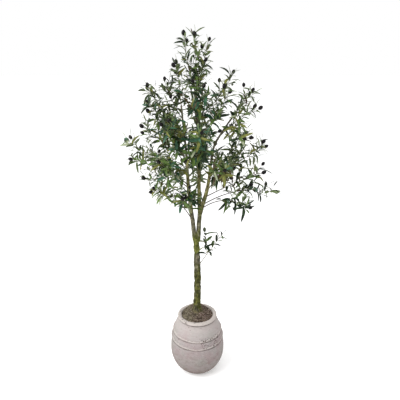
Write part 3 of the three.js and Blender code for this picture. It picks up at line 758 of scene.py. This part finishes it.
def make_pot():
    outline = smooth(POT_BODY + POT_SHOULDER)(np.linspace(0, 1, POT_ROWS))
    turn = np.radians(np.linspace(*LIP_TURN, LIP_STEPS))
    lip = np.stack([LIP_RADIUS + LIP_HALF_WIDTH * np.cos(turn),
                    LIP_HEIGHT + LIP_HALF_HEIGHT * np.sin(turn)], 1)
    inside = [(r - WALL, z) for r, z in (POT_SHOULDER[2], POT_SHOULDER[0], POT_BODY[4], POT_BODY[2])]
    inside.append((POT_BODY[1][0] - WALL, FLOOR))
    profile = np.vstack([[0, 0], outline, LIP_GROOVE, lip, inside, [0, FLOOR]])
    wall_rows = POT_ROWS + len(LIP_GROOVE)

    def chipping(points):
        """How deep the wall is chipped, in shares of the chips' depth."""
        bearing = np.degrees(np.arctan2(points[:, 1], points[:, 0])) % 360
        limit = np.full(len(points), CHIP_LIMIT)
        for (low, high), (start, stop), weak in CHIPPED:
            within = (points[:, 2] > low) & (points[:, 2] < high) & (bearing > start) & (bearing < stop)
            limit[within] = weak
        return np.clip(fractal(points + 400, CHIP_LUMPS, 3) - limit, 0, 0.5)

    def weathered(points):
        radius = np.hypot(points[:, 0], points[:, 1])
        row = np.arange(len(points)) // POT_SIDES
        push = sum(depth * fractal(points, lumps, octaves) for depth, lumps, octaves in CLAY_WEAR)
        push += np.where(row < POT_ROWS, cord_relief(points), 0)
        push -= CHIP_DEPTH * chipping(points)
        push = np.where((row < wall_rows + LIP_STEPS) & (points[:, 2] > 3), push, 0)
        points[:, :2] *= ((radius + push) / np.maximum(radius, 1))[:, None]
        points[:, 2] += np.where(row > wall_rows, 0.5 * push, 0)
        return points

    points, faces = lathe(profile, POT_SIDES, weathered)
    level = cord_levels(points)
    # Painted highlight: the cords' crests and the lip take the lighter copy of the clay as kind 1; deep chips
    # take the chipped clay as kind 2
    crest = np.any([np.abs(level - middle) < 0.7 * CORD_HALF_WIDTH for middle in CORD_HEIGHTS], 0)
    row = np.arange(len(points)) // POT_SIDES
    pale = (crest & (row < POT_ROWS)) | ((row > wall_rows + 2) & (row < wall_rows + LIP_STEPS - 2))
    kind = np.where(chipping(points) > SCAR_DEPTH, 2, pale.astype(int))
    soup = Soup()
    soup.add(points, faces, [int(kind[face[0]]) for face in faces])
    looks = [pot_look("chalky_earthenware", 0.0), pot_look("cord_and_lip_highlight", 0.4),
             chip_look("chipped_clay", (46, 38, 34), (92, 80, 72))]
    soup.build("jar", looks, ["pot"], "pot")


FILL_RADIUS = 103
GROUND_RADIUS = 42
HEAP = {"x": -8, "y": 78, "half_width": 62, "depth": 26, "rise": 22}
LAP = 9
FILL_DEPTH = 60
FILL_FOOT_RADIUS = 90
FILL_SIDES = 160
LITTER = 2600
LITTER_SEED = 4
MOSSY_RADIUS = 48
MOSSY_EDGE = -30


def ground_at(x, y):
    """The fill's height: a mound that laps the trunk's foot, heaped higher behind it."""
    radius = np.hypot(x, y)
    share = np.clip((FILL_RADIUS - radius) / (FILL_RADIUS - GROUND_RADIUS), 0, 1)
    along, back = (x - HEAP["x"]) / HEAP["half_width"], (y - HEAP["y"]) / HEAP["depth"]
    heap = HEAP["rise"] * np.exp(-(along**2) - back**2)
    lap = LAP * np.exp(-((radius / GROUND_RADIUS) ** 4))
    return FILL_EDGE_HEIGHT + (GROUND - FILL_EDGE_HEIGHT) * np.sin(share * pi / 2) + heap + lap


def make_fill():
    radii = np.linspace(FILL_RADIUS, 1, 60)
    top = [(r, ground_at(r, 0)) for r in radii]
    foot = GROUND - FILL_DEPTH
    edge = (FILL_RADIUS - 3, FILL_EDGE_HEIGHT - 12)
    profile = [(0, foot), (FILL_FOOT_RADIUS, foot), edge] + top + [(0, GROUND)]

    def lumpy(points):
        surface = points[:, 2] > FILL_EDGE_HEIGHT - 2
        points[surface, 2] = ground_at(points[surface, 0], points[surface, 1])
        lumps = 2.6 * fractal(points, (16, 16, 30), 4) + 1.2 * fractal(points + 90, (5, 5, 5), 3)
        points[:, 2] += np.where(surface, lumps, 0)
        return points

    soup = Soup()
    soup.add(*lathe(profile, FILL_SIDES, lumpy))
    soup.build("fill", [soil_look()], ["soil"], "fill")


def make_litter():
    """Bits of bark, strands of moss and dry fibres, strewn over the fill."""
    random = seeded(LITTER_SEED)
    litter = Soup()
    for _ in range(LITTER):
        radius, angle = FILL_RADIUS * sqrt(random()), 2 * pi * random()
        x, y = radius * cos(angle), radius * sin(angle)
        mossy = random() < (0.75 if radius < MOSSY_RADIUS or x < MOSSY_EDGE else 0.2)
        size = (5 + 7 * random()) * (0.8 if mossy else 1)
        width = 0.5 + (0.5 if mossy else 1.6) * random()
        turn, tilt = 2 * pi * random(), (0.2 + 0.8 * random() ** 2) * (1 if mossy else 0.45)
        flat = np.array([cos(turn), sin(turn), 0])
        heading = flat * cos(tilt) + UP * sin(tilt)
        across = np.array([-flat[1], flat[0], 0]) * width
        foot = np.array([x, y, ground_at(x, y) - 0.5])
        crook = foot + heading * size * 0.5 + UP * 0.8
        end = foot + heading * size - UP * size * 0.15
        if hypot(end[0], end[1]) > FILL_RADIUS:
            continue
        corners = [foot - across, foot + across, crook + across, crook - across, end, crook - UP * width]
        faces = [[0, 1, 2, 3], [3, 2, 4], [1, 0, 5], [2, 1, 5], [0, 3, 5], [4, 2, 5], [3, 4, 5]]
        litter.add(corners, faces, 1 if mossy else (2 if random() < 0.3 else 0))
    looks = [chip_look("bark_chips", (44, 33, 30), (96, 78, 72)),
             chip_look("moss_strands", (80, 76, 54), (138, 131, 106)),
             chip_look("dry_fibre", (146, 130, 118), (188, 172, 158))]
    litter.build("fill_litter", looks, ["soil"], "fill", 40)


# ---- Trunk, stems and boughs ----

TRUNK_MESH = (90, 40)  # steps along it and sides round it, as for the others
STEM_MESH = (150, 20)
CROTCH_MESH = (16, 20)
BOUGH_MESH = (14, 10)
BARK_VOXEL = 1.5
COLLAR = {"height": 70, "proud": 1.2}  # the trunk's thickening under the fork
CROTCH_HEIGHT = 24  # how far up the bark fills the fork
CROTCH_DEPTH = 100  # how far under the trunk's top that filling starts
CROTCH_RADII = (9, 5)
JOINT_RADII = (9, 11)
JOINT_SHARE = 0.03  # how far up the stems the filling joins them
KNOBS, RIDGES, CRUMBS = (28, 28, 34), (7, 7, 22), (4, 4, 5)  # their sizes in x, y and z

# How proud of the solids the stems' bark is: all the way, and more from below a height
SWELL = {"all": 0.4, "low": 2.7, "below": 1460, "over": 260}


def bark_form():
    """One fused mesh of the trunk, the stems and the filling of their fork."""
    soup = Soup()
    height = TRUNK_TOP - GROUND
    radii = STEMS["trunk"]["radii"]

    def trunk_radius(share):
        flare = np.clip(1 - share * height / FLARE_HEIGHT, 0, 1)
        collar = np.clip(1 - (1 - share) * height / COLLAR["height"], 0, 1)
        return taper(radii)(share) + (FLARE_RADIUS - radii[0]) * flare**2 + COLLAR["proud"] * collar**1.5

    soup.add(*tube(stem_curves["trunk"], 0, 1, *TRUNK_MESH, trunk_radius))
    for name in (LEFT, MIDDLE, RIGHT):
        soup.add(*tube(stem_curves[name], 0, 1, *STEM_MESH, taper(STEMS[name]["radii"])))
    foot = stem_curves["trunk"](share_at_height(stem_curves["trunk"], TRUNK_TOP - CROTCH_DEPTH))
    left, middle = (stem_curves[name](JOINT_SHARE) for name in (LEFT, MIDDLE))
    crotch = (left + middle) / 2 + CROTCH_HEIGHT * UP
    for end, ends in ((left, JOINT_RADII), (middle, JOINT_RADII), (crotch, CROTCH_RADII)):
        soup.add(*tube(arc(foot, (foot + end) / 2, end), 0, 1, *CROTCH_MESH, taper(ends)))
    form = put("bark_form", soup.mesh("bark_form"))
    remesh = form.modifiers.new("fuse", "REMESH")
    remesh.mode, remesh.voxel_size = "VOXEL", BARK_VOXEL * MM
    soften = form.modifiers.new("soften", "SMOOTH")
    soften.iterations, soften.factor = 6, 0.5
    fused = bpy.data.meshes.new_from_object(form.evaluated_get(bpy.context.evaluated_depsgraph_get()))
    bpy.data.objects.remove(form)
    return fused


def make_bark():
    """The fused form with its bark pushed out: knobs and ridges, coarser on the trunk, and crumbs."""
    fused = bark_form()
    points, normals = (np.empty(3 * len(fused.vertices)) for _ in range(2))
    fused.vertices.foreach_get("co", points)
    fused.vertices.foreach_get("normal", normals)
    points, normals = points.reshape(-1, 3) / MM, normals.reshape(-1, 3)
    on_trunk = np.clip((TRUNK_TOP + 40 - points[:, 2]) / 80, 0, 1)
    knobs = fractal(points, KNOBS, 2)
    ridges = fractal(points + 200, RIDGES, 4)
    crumbs = fractal(points + 700, CRUMBS, 3)
    low = np.clip((SWELL["below"] - points[:, 2]) / SWELL["over"], 0, 1)
    swell = (1 - on_trunk) * (SWELL["all"] + SWELL["low"] * low)
    push = (0.8 + 3.4 * on_trunk) * knobs + (0.5 + 0.7 * on_trunk) * ridges + 0.5 * crumbs + swell
    fade = np.clip((points[:, 2] - GROUND) / 6, 0, 1)
    points += normals * (push * fade)[:, None]
    fused.vertices.foreach_set("co", (points * MM).ravel())
    fused.materials.append(bark_look())
    fused.shade_smooth()
    fused.update()
    dress(put("bark", fused), STEMS)


def make_boughs():
    soup = Soup()
    for spray in sprays:
        if spray.bare:
            soup.add(*tube(spray.way, 0, spray.bare + BOUGH_OVERLAP, *BOUGH_MESH, taper(BOUGH_RADII)))
    look = twig_look("bough_wrap", (58, 49, 52), (82, 74, 70), (106, 98, 92))
    soup.build("boughs", [look], [f"bough_{spray.name}" for spray in sprays if spray.bare], "bark")


# ---- Foliage and fruit ----

LEAF_SHARES = np.array([0.0, 0.1, 0.26, 0.46, 0.68, 0.88, 1.0])
LEAF_WIDTHS = np.array([0.1, 0.32, 0.84, 1.0, 0.94, 0.6, 0.0])
LEAF_THICKNESS = 0.6
LEAF_FOLD = 0.22


class Leaves:
    """Leaves gathered as rows of numbers, then tested and built at once. A tone is a number in LEAF_TONES."""

    def __init__(self):
        self.rows, self.twigs, self.tones = [], [], []

    def add(self, twig, root, heading, along, length, width, curl, roll, tone):
        """A leaf that faces about as its twig runs, and a little up."""
        face = along + 0.4 * UP
        face = unit(face - heading * face.dot(heading))
        face = face * cos(roll) + np.cross(heading, face) * sin(roll)
        across = np.cross(heading, face)
        self.rows.append(np.concatenate([root, heading, face, across, [length, width, curl]]))
        self.twigs.append(twig)
        self.tones.append(tone)

    def arrays(self):
        table = np.array(self.rows)
        root, heading, face, across = (table[:, i : i + 3] for i in (0, 3, 6, 9))
        return root, heading, face, across, *table[:, 12:].T

    def keep_fitting(self):
        """Drops the leaves that leave their spray's space, and marks the twigs that bear the others."""
        root, heading, face, across, length, width, curl = self.arrays()
        middle = root + heading * (0.45 * length)[:, None]
        edge = across * (width / 2)[:, None]
        tip = root + heading * length[:, None] - face * (curl * length)[:, None]
        samples = np.stack([middle + edge, middle - edge, (middle + tip) / 2, tip], 1).reshape(-1, 3)
        owners = np.repeat([twig.owner for twig in self.twigs], 4)
        fits = in_space(samples, owners, 1.0).reshape(-1, 4).all(1)
        for name in ("rows", "twigs", "tones"):
            setattr(self, name, [value for value, good in zip(getattr(self, name), fits) if good])
        for twig in self.twigs:
            while twig:
                twig.bears, twig = True, twig.parent

    def build(self, tone, name, looks, nodes):
        """The piece with a tone's leaves, each one rings of four points along its rib and one at its tip."""
        chosen = np.array(self.tones) == tone
        root, heading, face, across, length, width, curl = (values[chosen] for values in self.arrays())
        share, half = LEAF_SHARES[None, :, None], LEAF_WIDTHS[None, :, None] * width[:, None, None] / 2
        length, curl = length[:, None, None], curl[:, None, None]
        root, heading, face, across = (values[:, None] for values in (root, heading, face, across))
        rib = root + heading * length * (share - 0.25 * curl * share**2) - face * curl * length * share**2
        wing, lift = across * half, face * half * LEAF_FOLD
        rows = np.stack([rib + wing + lift, rib, rib - wing + lift, rib - face * LEAF_THICKNESS], 2)
        points = np.concatenate([rows[:, :-1].reshape(len(rows), -1, 3), rib[:, -1:]], 1)
        last = len(LEAF_SHARES) - 2
        rings = [[4 * i + corner for corner in (0, 1, 2, 3, 0)] for i in range(last + 1)]
        faces = [[a, a + 4, b + 4, b] for ring in rings[:-1] for a, b in zip(ring, ring[1:])]
        faces += [[a, 4 * last + 4, b] for a, b in zip(rings[-1], rings[-1][1:])]
        kinds = [0, 0, 1, 1] * (last + 1)
        soup = Soup()
        for leaf in points:
            soup.add(leaf, faces, kinds)
        soup.build(name, looks, nodes, "foliage", 50)


def leaves_on(twig, leaves, every, first, end_leaf, sizes=(1.0, 1.0)):
    """Leaves in pairs along a twig, each pair a quarter turn on from the last, and one at the end.

    sizes scales their length and their width.
    """
    random = seeded(twig.seed * 7 + 3)
    mix = MIXES[sprays[twig.owner].mix]
    points, along, side, over = stations(twig.curve, twig.start, twig.stop, TWIG_STEPS)
    first_turn = 360 * random()

    def tone():
        draw = random()
        return next((k for k in range(len(mix)) if draw < sum(mix[: k + 1])), 0)

    distance, pair = first, 0
    while distance < twig.length - 4:
        i = round(distance / twig.length * TWIG_STEPS)
        turn = radians(first_turn + 90 * pair + 30 * (random() - 0.5))
        for sign in (1, -1):
            lean = radians(LEAF["lean"] * (1 - 0.25 * distance / twig.length) * (0.75 + 0.5 * random()))
            out = side[i] * cos(turn) + over[i] * sin(turn)
            heading = along[i] * cos(lean) + out * sign * sin(lean) + UP * LEAF["lift"]
            length = LEAF["length"] * (0.7 + 0.55 * random()) * sizes[0]
            width = LEAF["width"] * (0.75 + 0.45 * random()) * sizes[1]
            root = points[i] + along[i] * 1.5 * sign
            curl = 0.2 + 0.8 * random()
            roll = radians(LEAF_ROLL) * (2 * random() - 1)
            leaves.add(twig, root, unit(heading), along[i], length, width, curl, roll, tone())
        distance += every * (0.85 + 0.3 * random())
        pair += 1
    if end_leaf:
        length = end_leaf * (0.85 + 0.3 * random())
        curl = 0.25 * random()
        leaves.add(twig, points[-1] - along[-1], along[-1], over[-1], length, 0.2 * length, curl, 0, tone())


def grow_sprig(spray, leaves):
    """The leaves of the lone sprig and its second branch. Gives its twigs."""
    ahead = spray.shoot(FORK["share"])
    fork = arc(spray.way(FORK["share"]), np.array(FORK["middle"]), np.array(FORK["tip"]))
    aside = Twig(spray.number, fork, 0, 1, TWIG_RADII, FORK_SEED + spray.number)
    for twig, first in zip((ahead, aside), FORK_LEAVES["first"]):
        leaves_on(twig, leaves, FORK_LEAVES["every"], first, TIP_LEAF, FORK_LEAVES["sizes"])
    return [spray.shoot(spray.bare), aside]


def grow(spray, leaves, fruit):
    """A spray's leaves and fruit. Gives its twigs."""
    shoot, leafy = spray.shoot(spray.bare), spray.shoot(spray.leafy)
    first = kept(leafy.branch(TWIG_EVERY, 4, spray.spread, TWIG_RADII, SPRAY_TURN * spray.number))
    reach = SPRIG_SPREAD * spray.spread
    second = kept([sprig for twig in first
                   for sprig in twig.branch(SPRIG_EVERY, 1, reach, SPRIG_RADII, SPRIG_TURN)])
    every = DENSE_EVERY if spray.name in DENSE else LEAF_EVERY
    leaves_on(leafy, leaves, every, FIRST_LEAF["shoot"], TIP_LEAF)
    for k, twig in enumerate(first):
        fruiting = (k + spray.number) % FRUIT_EVERY == 1
        end_leaf = 0 if fruiting else END_LEAF["twig"] * LEAF["length"]
        leaves_on(twig, leaves, every, FIRST_LEAF["twig"], end_leaf)
        if fruiting:
            fruit.append((twig, twig.curve(1.0), unit(twig.curve(1.0) - twig.curve(0.9))))
    for twig in second:
        leaves_on(twig, leaves, every, FIRST_LEAF["sprig"], END_LEAF["sprig"] * LEAF["length"], (0.9, 0.9))
    tip = spray.way(spray.stop)
    fruit.append((shoot, tip, unit(tip - spray.way(spray.stop - 0.05))))
    return [shoot] + first + second


def make_foliage():
    leaves, twigs, fruit = Leaves(), [], []
    for spray in sprays:
        twigs += grow_sprig(spray, leaves) if spray.name == SPARSE else grow(spray, leaves, fruit)
    leaves.keep_fitting()
    fruit = [place for place in fruit if place[0].bears or place[0].radii is SHOOT_RADII]
    twigs = [twig for twig in twigs if twig.bears or twig.radii is SHOOT_RADII]

    nodes = [f"foliage_{spray.name}" for spray in sprays]
    under = leaf_look("leaf_underside", (88, 102, 68), (124, 138, 98), 0.6)
    for tone, (name, (dull, fresh)) in enumerate(LEAF_TONES.items()):
        leaves.build(tone, f"leaves_{name}", [leaf_look(f"leaf_{name}", dull, fresh, 0.45), under], nodes)

    wood = Soup()
    for twig in twigs:
        steps = SHOOT_STEPS if twig.radii is SHOOT_RADII else 5
        wood.add(*tube(twig.curve, twig.start, twig.stop, steps, 6, taper(twig.radii)))
    wood.build("twigs", [twig_look()], nodes, "bark")
    make_fruit(fruit, nodes)


FRUIT_ROWS = 12
FRUIT_SIDES = 16
FRUIT_SEED = 500
POINT_TURN = 2.6  # where its small point starts, in radians from its stalk
STALK = 18
STALK_RADII = (0.9, 1.3)


def make_fruit(fruit, nodes):
    """Olives on short stalks: drawn-out balls with a small point."""
    turn = np.linspace(0, pi, FRUIT_ROWS + 1)
    outline = np.stack([OLIVE["width"] / 2 * np.sin(turn), -OLIVE["length"] / 2 * np.cos(turn)], 1)
    outline[:, 1] += np.where(turn > POINT_TURN, (turn - POINT_TURN) * 3, 0)
    outline[[0, -1], 0] = 0
    ball, faces = lathe(outline, FRUIT_SIDES)
    soup = Soup()
    for k, (_, end, heading) in enumerate(fruit):
        random = seeded(FRUIT_SEED + k)
        size = 0.85 + 0.25 * random()
        lean = np.array([random() - 0.5, random() - 0.5, 0.3 * random()])
        heading = unit(heading + 0.7 * lean)
        side = unit(np.cross(heading, EAST if abs(heading[0]) < 0.9 else UP))
        over = np.cross(heading, side)
        centre = end + heading * (STALK + size * OLIVE["length"] / 2 - 1)
        points = centre + size * (ball[:, :1] * side + ball[:, 1:2] * over + ball[:, 2:] * heading)
        soup.add(points, faces)
        stalk = arc(end - heading, end + heading * STALK / 2, end + heading * (STALK + 1))
        soup.add(*tube(stalk, 0, 1, 3, 6, taper(STALK_RADII)), 1)
    soup.build("olives", [olive_look(), twig_look()], nodes, "foliage")


# ---- Studio ----

CAMERA_PLACE = (0.018, -2.45, 2.0)  # metres, as the lights' places and sizes are
CAMERA_TILT = 18.53  # degrees below level
CAMERA_LENS = 39.16
CAMERA_SENSOR = 36

# Each light's place, size and power in watts
LIGHTS = {"key_light": ((-3.2, -2.2, 3.9), 3.2, 200), "fill_light": ((3.0, -2.2, 2.2), 2.5, 6)}
LIGHTS_AIM = (0, 0, 1.1)
FLOOR_REACH = 40


def make_camera():
    data = bpy.data.cameras.new("camera")
    data.lens, data.sensor_width = CAMERA_LENS, CAMERA_SENSOR
    camera = put("camera", data)
    camera.location = CAMERA_PLACE
    camera.rotation_euler = (radians(90 - CAMERA_TILT), 0, 0)
    bpy.context.scene.camera = camera


def area_light(name, place, size, power):
    data = bpy.data.lights.new(name, "AREA")
    data.size, data.energy = size, power
    light = put(name, data)
    light.location = place
    light.rotation_euler = (Vector(LIGHTS_AIM) - Vector(place)).to_track_quat("-Z", "Y").to_euler()


def make_studio():
    scene = bpy.context.scene
    scene.view_settings.view_transform = "Standard"
    world = bpy.data.worlds.new("studio")
    scene.world = world
    world.use_nodes = True
    background = world.node_tree.nodes["Background"]
    background.inputs["Color"].default_value = (1, 1, 1, 1)
    background.inputs["Strength"].default_value = 1.0
    for name, settings in LIGHTS.items():
        area_light(name, *settings)
    mesh = bpy.data.meshes.new("floor")
    far = FLOOR_REACH
    mesh.from_pydata([(-far, -far, 0), (far, -far, 0), (far, far, 0), (-far, far, 0)], [], [[0, 1, 2, 3]])
    mesh.materials.append(floor_look())
    floor = put("floor", mesh)


# ---- The scene ----

make_camera()
make_studio()
make_pot()
make_fill()
make_litter()
make_bark()
make_boughs()
make_foliage()
